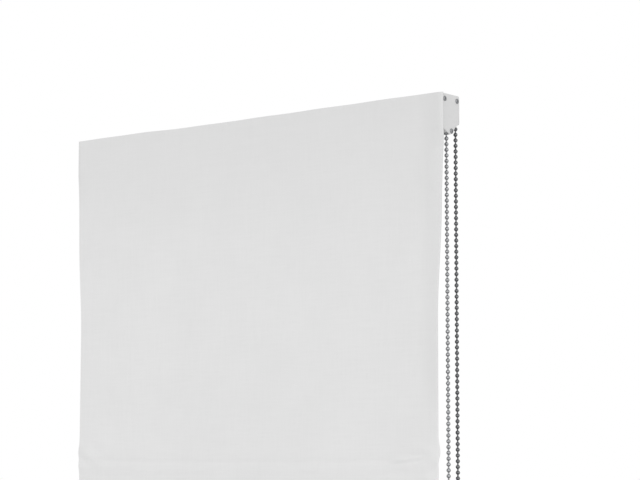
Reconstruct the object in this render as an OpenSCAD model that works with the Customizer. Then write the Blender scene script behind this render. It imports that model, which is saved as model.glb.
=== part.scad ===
// Roman blind with a chain control, hung flat from two ceiling brackets.
// Millimetres. X runs along the rail, Y to the back, Z up.
// The origin lies on the ceiling, midway between the two bracket screws.

/* [Blind] */
// Width over the two end faces
blind_w = 541; // [480:1:900]
// Length of the cloth from its top edge to its hem
drop = 1400; // [1100:10:1800]
// Length of the blind when it is drawn up
raised_drop = 300; // [280:10:400]
// Depth of the first batten below the top of the cloth
first_batten = 387; // [250:1:450]
// Height of the section under the last batten
last_section = 145; // [100:5:200]
// How far the cloth stands above the rail
cloth_rise = 0.5; // [0:0.1:2]
// How far the cloth stops short of each end face, or reaches past it below zero
cloth_inset = -0.8; // [-1:0.1:6]

/* [Cloth] */
// Thickness of one layer of cloth
cloth_t = 0.8; // [0.5:0.1:1.2]
// Width of the side hems
side_hem = 20; // [10:1:35]
// Height of the turned top hem
top_hem = 38; // [24:1:60]
// Height of the bottom hem
bottom_hem = 40; // [34:1:60]
// Length of the two layers between the cloth and a batten pocket
pocket_neck = 2; // [1.5:0.1:4]
// Half height of the crease in front of a batten
crease_h = 1.3; // [0.8:0.1:2]

/* [Headrail] */
// Depth of the rail from front to back
rail_d = 29; // [28.5:0.5:32]
// Height of the rail
rail_h = 30; // [29:0.5:34]
// Wall of the rail
rail_wall = 1.5; // [1.2:0.1:1.8]
// Width of the lips that half close the rail below
rail_lip = 5; // [3:0.5:6]
// Width of the bracket slot's mouth
slot_mouth = 14; // [12:0.5:15]
// Width of the bracket slot inside
slot_w = 20; // [19:0.5:22]
// Height of the bracket slot inside
slot_h = 4; // [3.6:0.2:4.4]
// Width of the hook and loop tapes
tape_w = 20; // [15:1:24]
// Thickness of each tape
tape_t = 1.6; // [1.2:0.1:2]
// Depth of the groove that the hook tape sits in
tape_groove = 0.6; // [0.4:0.1:0.8]

/* [Brackets] */
// Distance between the two bracket screws
bracket_span = 400; // [300:10:430]
// Thickness of the bracket plate
bracket_t = 1.5; // [1:0.1:2]
// Length of a bracket along the rail
bracket_l = 26; // [20:1:40]
// Depth of the bracket plate from front to back
bracket_d = 24; // [20:1:28]
// Radius of the screw hole in a bracket
screw_hole_r = 2.25; // [1.5:0.05:2.75]

/* [Chain] */
// Distance from bead to bead
bead_pitch = 6; // [5.8:0.1:6.2]
// Diameter of a bead
bead_d = 4.5; // [4.2:0.1:4.6]
// Diameter of the wire between beads
wire_d = 1.2; // [1:0.1:1.4]
// Pockets round the chain wheel
wheel_pockets = 9; // [8:1:12]
// Beads in each hanging run of the chain
run_bead_n = 160; // [120:1:220]
// Beads between the connector and the lowest bead of the rear run
connector_up_n = 28; // [8:1:60]
// Diameter of the connector
connector_d = 6.4; // [5.5:0.1:7.5]

/* [Control] */
// Thickness of the end cover
cover_t = 1; // [0.8:0.1:1.6]
// Thickness of the housing between cover and rail
housing_t = 8.6; // [8.4:0.1:12]
// Height of the housing at its front edge
front_h = 37.2; // [35:0.2:40]
// Height of the housing at its lowest point
nose_h = 43.3; // [42:0.1:46]
// Height of the housing at its back edge
back_h = 30.6; // [29:0.2:33]
// How far the housing stands in front of the rail
front_lap = 1.5; // [1:0.1:2]
// How far the cover stops short of the housing's back edge
cover_step = 1.5; // [0.5:0.1:2]
// Wall of the housing round the chain
housing_wall = 1.1; // [0.9:0.1:1.5]
// Length of the plugs that hold the control and the end cap in the rail
plug_l = 24; // [22:1:32]
// Wall of those plugs
plug_wall = 1.5; // [1.2:0.1:1.8]
// Radius of a cover screw's head
head_r = 2.75; // [2:0.05:3]
// Height of a cover screw's head
head_h = 1.2; // [0.8:0.1:1.6]
// Radius of a cover screw's shank
shank_r = 1.1; // [0.8:0.05:1.2]
// Thickness of the idle end cap's face
cap_t = 3; // [2:0.1:5]

/* [Drive] */
// Distance of the drive's axis behind the middle of the rail
axis_y = 4.3; // [2:0.1:4.4]
// Width across the flats of the drive shaft
shaft_af = 5; // [4:0.1:5.2]
// Radius of a spool's barrel
barrel_r = 6.5; // [5.5:0.1:6.8]
// Radius of a spool's flanges
flange_r = 8.2; // [7.8:0.1:8.6]
// Thickness of a spool's flanges
flange_t = 1.5; // [1:0.1:2]
// Radius of a spool's journals
journal_r = 4; // [3.6:0.1:4.4]
// Thickness of a cradle's plates
cradle_t = 2.2; // [1.8:0.1:3]
// Distance of each lift cord from the cloth's side edge
cord_inset = 100; // [80:5:115]
// Diameter of a lift cord
cord_d = 1.4; // [1:0.1:1.8]
// Wire of the brake's wrap spring
spring_wire = 1.1; // [0.9:0.1:1.2]
// Turns of the wrap spring
spring_turns = 8; // [6:1:9]

/* [Battens and bottom bar] */
// Radius of a batten
batten_r = 2; // [1.5:0.1:2.5]
// How far the battens stop short of the cloth's side edges
batten_inset = 14; // [6:0.5:20]
// How far the bottom bar stops short of the cloth's side edges
bar_inset = 6; // [5.5:0.5:15]
// Length of a cord guide along its batten
guide_l = 6; // [5:0.5:10]
// Height of the bottom bar
bar_h = 22; // [16:0.5:24]
// Thickness of the bottom bar
bar_t = 5; // [4.5:0.1:6]
// Wall of the bottom bar
bar_wall = 1; // [0.8:0.1:1.3]

/* [Hidden] */
$fn = 48;

// Clearances: a running fit, a loose soft fit, a push fit and a hair for clean cuts
run_gap = 0.3;
soft_gap = 0.4;
push_gap = 0.2;
hair = 0.01;

// Rail: outer faces, then the channel inside it
rail_front = -rail_d / 2;
rail_back = rail_d / 2;
rail_top = -bracket_t;
rail_bottom = rail_top - rail_h;
slot_lip = rail_wall;
slot_floor = rail_top - slot_lip - slot_h;
channel_top = slot_floor - rail_wall;
channel_bottom = rail_bottom + rail_wall;
channel_h = channel_top - channel_bottom;
channel_w = rail_d - 2 * rail_wall;
end_right = blind_w / 2;
end_left = -blind_w / 2;
rail_left = end_left + cap_t;
rail_right = end_right - cover_t - housing_t;

// Chain on its wheel: with an odd number of pockets the front run hangs from between two of them,
// half a pitch lower than the rear run
bead_r = bead_d / 2;
wire_r = wire_d / 2;
pitch_r = bead_pitch / (2 * sin(180 / wheel_pockets));
half_turn = floor(wheel_pockets / 2);
odd_pockets = wheel_pockets % 2;
front_run_y = axis_y - pitch_r * cos(odd_pockets * 180 / wheel_pockets);
front_shift = odd_pockets * bead_pitch / 2;
rear_run_y = axis_y + pitch_r;

// Housing round the chain and its wheel
chain_gap = 0.35;
housing_front = rail_front - front_lap;
housing_back = rear_run_y + bead_r + chain_gap + housing_wall;
cover_back = housing_back - cover_step;
cover_inner = end_right - cover_t;
chain_x = cover_inner - chain_gap - bead_r;
axis_z = (channel_top + channel_bottom) / 2;
wheel_lip = 0.7;
wheel_outer = chain_x + bead_r - run_gap;
wheel_inner = chain_x - bead_r - wheel_lip;
chamber_inner = wheel_inner - run_gap;
chamber_r = pitch_r + bead_r + chain_gap;
cover_boss_r = 2.6;
cover_boss_l = 1.6;
screw_inset = 4.2;
screw_drop = 6;
nose_screw_up = 3.6;
nose_screw = [0.4, nose_h - nose_screw_up];
nose_lead = 3.8;
nose_trail = 0.6;
heel_reach = 8.4;
heel_drop = 4;
outline_ease = 2.2;
ease_n = 4;
hole_play = 0.15;
grip_play = 0.05;
shank_l = 6;

// Brake inside the control's plug
shaft_r = shaft_af / 2 / cos(30);
post_bore_r = shaft_r + run_gap;
post_wall = 1.2;
post_r = post_bore_r + post_wall;
spring_r = post_r + hole_play;
spring_setback = 1;
spring_end = rail_right - spring_setback;
skirt_r = spring_r + spring_wire + run_gap;
skirt_wall = 1.2;
hub_r = skirt_r + skirt_wall;
hub_wall = 0.7;
wheel_hub_r = post_bore_r + hub_wall;
spring_l = spring_turns * spring_wire;
spring_start = spring_end - spring_l;
post_over = 3;
post_l = spring_l + post_over;
hub_disc = 3;

// Tapes and cloth, counted forward from the rail's front
tape_seat = rail_front + tape_groove;
tape_meet = tape_seat - tape_t;
hem_back = tape_meet - tape_t;
cloth_back = hem_back - cloth_t;
cloth_front = cloth_back - cloth_t;
cloth_top = rail_top + cloth_rise;
cloth_bottom = cloth_top - drop;
cloth_right = end_right - cloth_inset;
cloth_left = end_left + cloth_inset;
tape_top = rail_top - (rail_h - tape_w) / 2;

// Battens: how many, their depths below the top of the cloth and their place behind it
batten_n = 4;
section = (drop - first_batten - last_section) / (batten_n - 1);
batten_z = [for (i = [0 : batten_n - 1]) cloth_top - first_batten - i * section];
pocket_in = batten_r + soft_gap;
pocket_out = pocket_in + cloth_t;
batten_y = cloth_back + pocket_neck + pocket_out;
batten_right = cloth_right - batten_inset;
batten_left = cloth_left + batten_inset;

// Lift cords, spools and cradles
cord_r = cord_d / 2;
cord_x = [cloth_left + cord_inset, cloth_right - cord_inset];
cord_y = axis_y - barrel_r - run_gap - cord_r;
wind_r = barrel_r + cord_r;
dead_turn_n = 2;
wind_turns = (drop - raised_drop) / (2 * PI * wind_r) + dead_turn_n;
wind_ease = 1.05;
barrel_l = wind_turns * cord_d * wind_ease;
spool_l = barrel_l + 2 * flange_t;
cradle_l = spool_l + 2 * run_gap + 2 * cradle_t;
guide_arm = 2.4;
guide_wall = 1.3;
eye_room = 1.3;
eye_wall = 1.8;
eye_in = cord_r + eye_room;
eye_out = eye_in + eye_wall;
window_room = 2;
guide_window = guide_l + window_room;

// Bottom bar in its hem
hem_gap = bar_t + 2 * soft_gap;
bar_y = cloth_back + soft_gap + bar_t / 2;
bar_bottom = cloth_bottom + cloth_t + soft_gap;
bar_top = bar_bottom + bar_h;
bar_back = bar_y + bar_t / 2;
bar_right = cloth_right - bar_inset;
bar_left = cloth_left + bar_inset;
plug_face = 2;
anchor_w = 8;
anchor_h = 4;
anchor_z = bar_bottom + bar_h / 2 - anchor_h / 2;
stop_r = 2.8;
stop_h = 8;
stop_bore = 6;

// Hanging chain: the lowest bead of the rear run lies level with the centre of the bend
run_first_n = 2;
bend_z = axis_z - run_bead_n * bead_pitch;
wire_stub = 1;
connector_bead_n = 2;
above_connector_n = run_bead_n - connector_up_n - connector_bead_n;
below_connector_n = above_connector_n + connector_bead_n + 1;
touch_gap = 0.1;
coil_merge = 0.02;

// A solid along X from x0 to x1, with the section drawn as (Y, Z)
module along_x(x0, x1) {
  translate([x0, 0, 0]) rotate([90, 0, 90]) linear_extrude(x1 - x0) children();
}

// A round bar along X on the axis (y, z)
module rod_x(x0, x1, r, y, z) {
  translate([x0, y, z]) rotate([0, 90, 0]) cylinder(r = r, h = x1 - x0);
}

// The six-sided bar of the drive, on the drive's axis
module hex_x(x0, x1, af) {
  translate([x0, axis_y, axis_z]) rotate([0, 90, 0]) cylinder(r = af / 2 / cos(30), h = x1 - x0, $fn = 6);
}

// A rectangle between two corners
module span(y0, z0, y1, z1) {
  translate([y0, z0]) square([y1 - y0, z1 - z0]);
}

// A rectangle with cut corners
module cut_corner_span(y0, z0, y1, z1, c) {
  polygon([
    [y0 + c, z0], [y1 - c, z0], [y1, z0 + c], [y1, z1 - c],
    [y1 - c, z1], [y0 + c, z1], [y0, z1 - c], [y0, z0 + c]
  ]);
}

// A flat bar's section with round top and bottom edges
module flat_oval(y, z0, z1, t) {
  translate([y, z0 + t / 2]) circle(r = t / 2);
  translate([y, z1 - t / 2]) circle(r = t / 2);
  span(y - t / 2, z0 + t / 2, y + t / 2, z1 - t / 2);
}

// Headrail: an extruded channel with the bracket slot above and a groove for the tape in front
module rail_section() {
  lip_edge = channel_w / 2 - rail_lip;
  difference() {
    span(rail_front, rail_bottom, rail_back, rail_top);
    span(-channel_w / 2, channel_bottom, channel_w / 2, channel_top);
    span(-lip_edge, rail_bottom - hair, lip_edge, channel_bottom + hair);
    span(-slot_w / 2, slot_floor, slot_w / 2, rail_top - slot_lip);
    span(-slot_mouth / 2, slot_floor + hair, slot_mouth / 2, rail_top + hair);
    span(rail_front - hair, tape_top - tape_w - push_gap, tape_seat, tape_top + push_gap);
  }
}

module headrail() {
  color("#d8dadb") along_x(rail_left, rail_right) rail_section();
}

// Ceiling bracket: a plate with two fingers that hook under the lips of the rail's slot
module bracket(x) {
  finger_t = 1.2;
  finger_y = slot_mouth / 2 - push_gap - finger_t;
  hook_top = rail_top - slot_lip - push_gap;
  hook_out = (slot_mouth + slot_w) / 4;
  color("#c4c8cb") difference() {
    along_x(x - bracket_l / 2, x + bracket_l / 2) {
      span(-bracket_d / 2, -bracket_t, bracket_d / 2, 0);
      for (flip = [0, 1]) mirror([flip, 0]) {
        span(finger_y, hook_top - finger_t, finger_y + finger_t, -bracket_t + hair);
        span(finger_y, hook_top - finger_t, hook_out, hook_top);
      }
    }
    translate([x, 0, -bracket_t - 1]) cylinder(r = screw_hole_r, h = bracket_t + 2);
  }
}

module hook_tape() {
  color("#e6e6e6") along_x(rail_left, rail_right) span(tape_meet, tape_top - tape_w, tape_seat, tape_top);
}

module loop_tape() {
  color("#eeeeee") along_x(rail_left, rail_right) span(hem_back, tape_top - tape_w, tape_meet, tape_top);
}

// Cloth: one sheet with a turned top, a tuck round each batten and a hem round the bottom bar
module batten_tuck(z) {
  translate([batten_y, z]) circle(r = pocket_out);
  span(cloth_back - hair, z - cloth_t, batten_y - pocket_in - cloth_t / 2, z + cloth_t);
}

module crease(z) {
  polygon([
    [cloth_front - hair, z - crease_h], [cloth_front + cloth_t / 2, z], [cloth_front - hair, z + crease_h]
  ]);
}

module hem_outline() {
  knee = bar_top + 3 * soft_gap;
  polygon([
    [cloth_back - hair, cloth_bottom], [cloth_back + hem_gap + cloth_t, cloth_bottom],
    [cloth_back + hem_gap + cloth_t, knee], [cloth_back + cloth_t, cloth_bottom + bottom_hem],
    [cloth_back - hair, cloth_bottom + bottom_hem]
  ]);
}

module hem_hollow() {
  polygon([
    [cloth_back, cloth_bottom + cloth_t], [cloth_back + hem_gap, cloth_bottom + cloth_t],
    [cloth_back + hem_gap, bar_top + 2 * soft_gap], [cloth_back, cloth_bottom + bottom_hem - 2 * cloth_t]
  ]);
}

module cloth_section() {
  difference() {
    union() {
      span(cloth_front, cloth_bottom, cloth_back, cloth_top);
      span(cloth_back - hair, cloth_top - top_hem, hem_back, cloth_top);
      for (z = batten_z) batten_tuck(z);
      hem_outline();
    }
    for (z = batten_z) translate([batten_y, z]) circle(r = pocket_in);
    for (z = batten_z) crease(z);
    hem_hollow();
  }
}

module side_hem_layer(x0) {
  hem_top = cloth_top - top_hem - 2;
  hem_low = cloth_bottom + bottom_hem + 2;
  translate([x0, cloth_back - hair, hem_low]) cube([side_hem, cloth_t + hair, hem_top - hem_low]);
}

module fabric() {
  window_h = 2 * pocket_out + window_room;
  color("#e3e4e5") difference() {
    union() {
      along_x(cloth_left, cloth_right) cloth_section();
      side_hem_layer(cloth_left);
      side_hem_layer(cloth_right - side_hem);
    }
    for (x = cord_x, z = batten_z)
      translate([x - guide_window / 2, cloth_back + pocket_neck - soft_gap, z - window_h / 2])
        cube([guide_window, window_h, window_h]);
    for (x = cord_x)
      translate([x - anchor_w / 2 - soft_gap, bar_back, anchor_z - soft_gap])
        cube([anchor_w + 2 * soft_gap, hem_gap, anchor_h + 2 * soft_gap]);
  }
}

// A closed outline whose corners give way to curves that start and end a distance r from them
function step_to(a, b, r) = a + (b - a) * r / norm(b - a);

function eased(points, r) = [
  for (i = [0 : len(points) - 1])
    let (
      before = points[(i + len(points) - 1) % len(points)],
      after = points[(i + 1) % len(points)],
      p = step_to(points[i], before, r),
      q = step_to(points[i], after, r)
    )
    for (k = [0 : ease_n])
      let (t = k / ease_n) (1 - t) * (1 - t) * p + 2 * t * (1 - t) * points[i] + t * t * q
];

// Chain control: the outline of the end face, as (Y, Z), with its back edge given
module control_outline(back) {
  nose_y = nose_screw[0];
  polygon(eased([
    [housing_front, rail_top], [housing_front, rail_top - front_h],
    [nose_y - nose_lead, rail_top - nose_h], [nose_y + nose_trail, rail_top - nose_h],
    [nose_y + heel_reach, rail_top - back_h - heel_drop], [back, rail_top - back_h], [back, rail_top]
  ], outline_ease));
}

// The three cover screws sit at these (Y, Z) places
screw_spots = [
  [housing_front + screw_inset, rail_top - screw_drop],
  [cover_back - screw_inset, rail_top - screw_drop],
  [nose_screw[0], rail_top - nose_screw[1]]
];

// A plug that fits the rail's channel, open below
module rail_plug_section() {
  w = channel_w / 2 - push_gap;
  difference() {
    span(-w, channel_bottom + push_gap, w, channel_top - push_gap);
    span(-w + plug_wall, channel_bottom + push_gap - hair, w - plug_wall, channel_top - push_gap - plug_wall);
  }
}

module control_housing() {
  channel_side = bead_r + chain_gap;
  color("#d6d7d8") difference() {
    union() {
      along_x(rail_right, cover_inner) control_outline(housing_back);
      difference() {
        along_x(rail_right - plug_l, rail_right + hair) rail_plug_section();
        rod_x(rail_right - plug_l - 1, rail_right + 1, hub_r + run_gap, axis_y, axis_z);
      }
      rod_x(rail_right - post_l, rail_right + hair, post_r, axis_y, axis_z);
    }
    rod_x(chamber_inner, cover_inner + 1, chamber_r, axis_y, axis_z);
    for (y = [front_run_y, rear_run_y])
      translate([chamber_inner, y - channel_side, rail_top - nose_h - 1])
        cube([cover_inner - chamber_inner + 1, 2 * channel_side, axis_z - rail_top + nose_h + 1]);
    rod_x(rail_right - post_l - 1, chamber_inner + hair, post_bore_r, axis_y, axis_z);
    rod_x(rail_right, chamber_inner + hair, wheel_hub_r + run_gap, axis_y, axis_z);
    for (s = screw_spots) rod_x(cover_inner - shank_l, cover_inner + 1, shank_r + grip_play, s[0], s[1]);
  }
}

module control_cover() {
  color("#d6d7d8") difference() {
    union() {
      along_x(cover_inner, end_right) control_outline(cover_back);
      rod_x(cover_inner - cover_boss_l, cover_inner + hair, cover_boss_r, axis_y, axis_z);
    }
    for (s = screw_spots) rod_x(cover_inner - 1, end_right + 1, shank_r + hole_play, s[0], s[1]);
  }
}

// Pan head screw with a cross recess, its shank pointing to -X
module cover_screw(y, z) {
  slot_t = 0.7;
  slot_l = 1.2 * head_r;
  recess_turn = 20;
  taper = 0.7;
  tip_up = 0.5;
  translate([end_right, y, z]) rotate([0, 90, 0]) difference() {
    union() {
      cylinder(r = head_r, h = head_h / 2);
      translate([0, 0, head_h / 2 - hair]) cylinder(r1 = head_r, r2 = taper * head_r, h = head_h / 2);
      translate([0, 0, tip_up - cover_t - shank_l]) cylinder(r = shank_r, h = cover_t + shank_l);
    }
    for (turn = [0, 90])
      rotate([0, 0, turn + recess_turn])
        translate([-slot_l / 2, -slot_t / 2, head_h / 2]) cube([slot_l, slot_t, head_h]);
  }
}

module cover_screws() {
  color("#5c5d5e") for (s = screw_spots) cover_screw(s[0], s[1]);
}

// Chain wheel: ball pockets on a rim, a groove for the wire and a hub in the housing's bore
module chain_wheel() {
  rim_r = pitch_r + wheel_lip;
  groove_r = pitch_r * cos(180 / wheel_pockets) - wire_r - run_gap;
  color("#f0f0ee") difference() {
    union() {
      rod_x(wheel_inner, wheel_outer, rim_r, axis_y, axis_z);
      rod_x(rail_right + push_gap, wheel_inner + hair, wheel_hub_r, axis_y, axis_z);
    }
    for (i = [0 : wheel_pockets - 1])
      translate(on_circle(i, axis_z)) rotate([0, 90, 0]) sphere(r = bead_r + touch_gap);
    translate([chain_x, axis_y, axis_z]) rotate([0, 90, 0]) rotate_extrude()
      translate([groove_r, -wire_r - touch_gap]) square([rim_r, 2 * wire_r + 2 * touch_gap]);
    rod_x(cover_inner - cover_boss_l - run_gap, wheel_outer + 1, cover_boss_r + run_gap, axis_y, axis_z);
    hex_x(rail_right - 1, wheel_outer, shaft_af + 2 * touch_gap);
  }
}

// Wrap spring: close turns round the post, with a straight tang at its free end
module brake_spring() {
  mid_r = spring_r + spring_wire / 2;
  color("#8b9094") {
    translate([spring_start, axis_y, axis_z]) rotate([0, 90, 0]) rotate_extrude() {
      for (i = [0 : spring_turns - 1])
        translate([mid_r, (i + 0.5) * spring_wire]) circle(r = spring_wire / 2 + coil_merge);
    }
    translate([spring_start + spring_wire / 2, axis_y, axis_z + mid_r])
      cylinder(r = spring_wire / 2 - touch_gap, h = spring_wire / 2 + run_gap + skirt_wall);
  }
}

// Brake hub: a cup on the shaft that reaches over half the spring, slotted for the spring's tang
module brake_hub() {
  disc = rail_right - post_l - run_gap;
  skirt_end = spring_start + spring_l / 2;
  tang_slot = spring_wire + 2 * run_gap;
  color("#f0f0ee") difference() {
    rod_x(disc - hub_disc, skirt_end, hub_r, axis_y, axis_z);
    rod_x(disc, skirt_end + 1, skirt_r, axis_y, axis_z);
    hex_x(disc - hub_disc - 1, disc + 1, shaft_af + 2 * touch_gap);
    translate([spring_start - run_gap, axis_y - tang_slot / 2, axis_z + skirt_r - skirt_wall])
      cube([tang_slot, tang_slot, 3 * skirt_wall]);
  }
}

module drive_shaft() {
  color("#aeb3b6") hex_x(end_left + cap_t + 1, cover_inner - cover_boss_l - 2 * run_gap, shaft_af);
}

// Idle end: a cap with a plug and a bearing, and the bush that turns in it
bush_r = shaft_r + 1.4;
bush_l = 10;
bush_flange = 2;

module end_cap() {
  cut = 2;
  color("#d6d7d8") {
    along_x(end_left, rail_left)
      cut_corner_span(housing_front, rail_bottom - front_lap, housing_back, rail_top, cut);
    along_x(rail_left - hair, rail_left + plug_l) rail_plug_section();
    difference() {
      rod_x(rail_left - hair, rail_left + bush_l, bush_r + run_gap + plug_wall, axis_y, axis_z);
      rod_x(rail_left, rail_left + bush_l + 1, bush_r + run_gap, axis_y, axis_z);
    }
  }
}

module shaft_bush() {
  start = rail_left + run_gap;
  end = rail_left + bush_l + bush_flange;
  color("#f0f0ee") difference() {
    union() {
      rod_x(start, end, bush_r, axis_y, axis_z);
      rod_x(rail_left + bush_l + run_gap, end, bush_r + run_gap + plug_wall, axis_y, axis_z);
    }
    hex_x(start - 1, end + 1, shaft_af + 2 * touch_gap);
  }
}

// Spool: a barrel between flanges, on journals that run in its cradle
module spool(x) {
  journal_l = cradle_t + 2 * run_gap;
  color("#f0f0ee") difference() {
    union() {
      rod_x(x - spool_l / 2 - journal_l, x + spool_l / 2 + journal_l, journal_r, axis_y, axis_z);
      rod_x(x - spool_l / 2, x + spool_l / 2, barrel_r, axis_y, axis_z);
      for (mid = [x - (barrel_l + flange_t) / 2, x + (barrel_l + flange_t) / 2])
        rod_x(mid - flange_t / 2, mid + flange_t / 2, flange_r, axis_y, axis_z);
    }
    hex_x(x - spool_l, x + spool_l, shaft_af + 2 * touch_gap);
  }
}

// Cradle: two open bearings on a floor that lies on the rail's lips, with an eye for the cord
module cradle(x) {
  w = channel_w / 2 - run_gap;
  floor_top = axis_z - flange_r - run_gap;
  color("#f0f0ee") difference() {
    union() {
      along_x(x - cradle_l / 2, x + cradle_l / 2) span(-w, channel_bottom, w, floor_top);
      for (mid = [x - (cradle_l - cradle_t) / 2, x + (cradle_l - cradle_t) / 2])
        along_x(mid - cradle_t / 2, mid + cradle_t / 2) span(-w, floor_top - hair, w, axis_z + journal_r);
    }
    rod_x(x - cradle_l, x + cradle_l, journal_r + run_gap, axis_y, axis_z);
    translate([x - cradle_l, axis_y - journal_r - run_gap, axis_z])
      cube([2 * cradle_l, 2 * (journal_r + run_gap), 2 * journal_r]);
    translate([x, cord_y, channel_bottom - 1]) cylinder(r = cord_r + soft_gap, h = channel_h);
  }
}

// Lift cord from its spool down to the stop under the bottom bar's anchor
module lift_cord(x) {
  low = anchor_z - stop_bore + run_gap;
  color("#f4f4f2") translate([x, cord_y, low]) cylinder(r = cord_r, h = axis_z - low);
}

module batten(i) {
  color("#f2f2f0") rod_x(batten_left, batten_right, batten_r, batten_y, batten_z[i]);
}

// Cord guide: a clip round the batten, an arm and a level eye for the cord
module cord_guide(x, z) {
  clip_in = batten_r + grip_play;
  clip_out = clip_in + guide_wall;
  difference() {
    union() {
      rod_x(x - guide_l / 2, x + guide_l / 2, clip_out, batten_y, z);
      translate([x - guide_arm, batten_y + batten_r, z - guide_arm / 2])
        cube([2 * guide_arm, cord_y - batten_y - batten_r, guide_arm]);
      translate([x, cord_y, z - guide_arm / 2]) cylinder(r = eye_out, h = guide_arm);
    }
    rod_x(x - guide_l, x + guide_l, clip_in, batten_y, z);
    translate([x, cord_y, z - guide_arm]) cylinder(r = eye_in, h = 2 * guide_arm);
  }
}

module cord_guides(i) {
  color("#f4f4f2") for (x = cord_x) cord_guide(x, batten_z[i]);
}

// Bottom bar: a hollow flat bar, with a plug in each end
module bottom_bar() {
  color("#d8dadb") along_x(bar_left, bar_right) difference() {
    flat_oval(bar_y, bar_bottom, bar_top, bar_t);
    flat_oval(bar_y, bar_bottom + bar_wall, bar_top - bar_wall, bar_t - 2 * bar_wall);
  }
}

module bar_plug(face, inner) {
  grip = bar_wall + push_gap;
  along_x(min(face, inner), max(face, inner))
    flat_oval(bar_y, bar_bottom + grip, bar_top - grip, bar_t - 2 * grip);
}

module bar_plugs() {
  insert = 12;
  color("#e8e8e6") {
    bar_plug(bar_left - hair, bar_left + insert);
    along_x(bar_left - plug_face, bar_left) flat_oval(bar_y, bar_bottom, bar_top, bar_t);
    bar_plug(bar_right + hair, bar_right - insert);
    along_x(bar_right, bar_right + plug_face) flat_oval(bar_y, bar_bottom, bar_top, bar_t);
  }
}

// Cord anchor: an eye that stands out from the back of the bottom bar
module cord_anchors() {
  reach = cord_y - bar_back;
  color("#f4f4f2") for (x = cord_x) difference() {
    union() {
      translate([x - anchor_w / 2, bar_back, anchor_z]) cube([anchor_w, reach, anchor_h]);
      translate([x, cord_y, anchor_z]) cylinder(r = anchor_w / 2, h = anchor_h);
    }
    translate([x, cord_y, anchor_z - 1]) cylinder(r = cord_r + soft_gap, h = anchor_h + 2);
  }
}

// Cord stop: a barrel under the anchor that the knotted end of the cord sits in
module cord_stops() {
  color("#e8e8e6") for (x = cord_x) translate([x, cord_y, anchor_z - stop_h]) difference() {
    cylinder(r = stop_r, h = stop_h);
    translate([0, 0, stop_h - stop_bore]) cylinder(r = cord_r + run_gap, h = stop_bore + 1);
  }
}

// Hanging chain from bead first to bead last below the wheel's axis, revolved as one string of beads
module bead_string(y, first, last, above, below) {
  top = -first * bead_pitch + above;
  low = -last * bead_pitch - below;
  translate([chain_x, y, axis_z]) rotate_extrude() intersection() {
    span(0, low - bead_d, bead_d, top + bead_d);
    union() {
      for (i = [first : last]) translate([0, -i * bead_pitch]) circle(r = bead_r);
      span(-wire_r, low, wire_r, top);
    }
  }
}

module chain_front_run() {
  color("#b4b6b8") translate([0, 0, -front_shift])
    bead_string(front_run_y, run_first_n, run_bead_n - odd_pockets, bead_r + wire_stub, 0);
}

module chain_rear_run() {
  link = bead_pitch / 2;
  color("#9c9ea0") {
    bead_string(rear_run_y, run_first_n, above_connector_n, bead_r + wire_stub, link);
    bead_string(rear_run_y, below_connector_n, run_bead_n, link, 0);
  }
}

// Connector: a barrel that clasps the two end beads of the chain
module chain_connector() {
  top = axis_z - (above_connector_n + 0.5) * bead_pitch;
  half = connector_bead_n * bead_pitch / 2;
  r = connector_d / 2;
  taper = r - 1;
  color("#b4b6b8") translate([chain_x, rear_run_y, top - half]) rotate_extrude() polygon([
    [0, -half], [r - taper, -half], [r, taper - half], [r, half - taper], [r - taper, half], [0, half]
  ]);
}

// Place of pocket i on the wheel's circle, or on one of the same size at another height z
function on_circle(i, z) = [
  chain_x,
  axis_y + pitch_r * cos(i * 360 / wheel_pockets),
  z + pitch_r * sin(i * 360 / wheel_pockets)
];

module wire_between(i, z, from, to) {
  a = on_circle(i, z);
  turn = (i + 0.5) * 360 / wheel_pockets;
  translate(a) rotate([turn, 0, 0]) translate([0, 0, from]) cylinder(r = wire_r, h = to - from);
}

module chain_wheel_wrap() {
  color("#b4b6b8") {
    for (i = [0 : half_turn]) translate(on_circle(i, axis_z)) sphere(r = bead_r);
    for (i = [0 : half_turn - 1]) wire_between(i, axis_z, 0, bead_pitch);
  }
}

module chain_bottom_bend() {
  clear = bead_r + touch_gap;
  color("#b4b6b8") {
    for (i = [half_turn + 1 : wheel_pockets - 1]) translate(on_circle(i, bend_z)) sphere(r = bead_r);
    for (i = [half_turn + 1 : wheel_pockets - 2]) wire_between(i, bend_z, 0, bead_pitch);
    wire_between(half_turn, bend_z, clear, bead_pitch);
    wire_between(wheel_pockets - 1, bend_z, 0, bead_pitch - clear);
  }
}

headrail();
bracket(-bracket_span / 2);  // bracket_left
bracket(bracket_span / 2);  // bracket_right
hook_tape();
loop_tape();
fabric();
control_housing();
control_cover();
cover_screws();
chain_wheel();
brake_spring();
brake_hub();
drive_shaft();
shaft_bush();
spool(cord_x[0]);  // spool_left
spool(cord_x[1]);  // spool_right
cradle(cord_x[0]);  // cradle_left
cradle(cord_x[1]);  // cradle_right
end_cap();
lift_cord(cord_x[0]);  // lift_cord_left
lift_cord(cord_x[1]);  // lift_cord_right
for (i = [0 : batten_n - 1]) {
  batten(i);
  cord_guides(i);
}
bottom_bar();
bar_plugs();
cord_anchors();
cord_stops();
chain_front_run();
chain_rear_run();
chain_bottom_bend();
chain_wheel_wrap();
chain_connector();
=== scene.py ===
"""Roman blind with a chain control, hung flat from its headrail.

Lengths are millimetres in the part's frame: X along the rail, Y to the back, Z up.
MM turns them into metres when a mesh is made.
"""
import math

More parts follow.
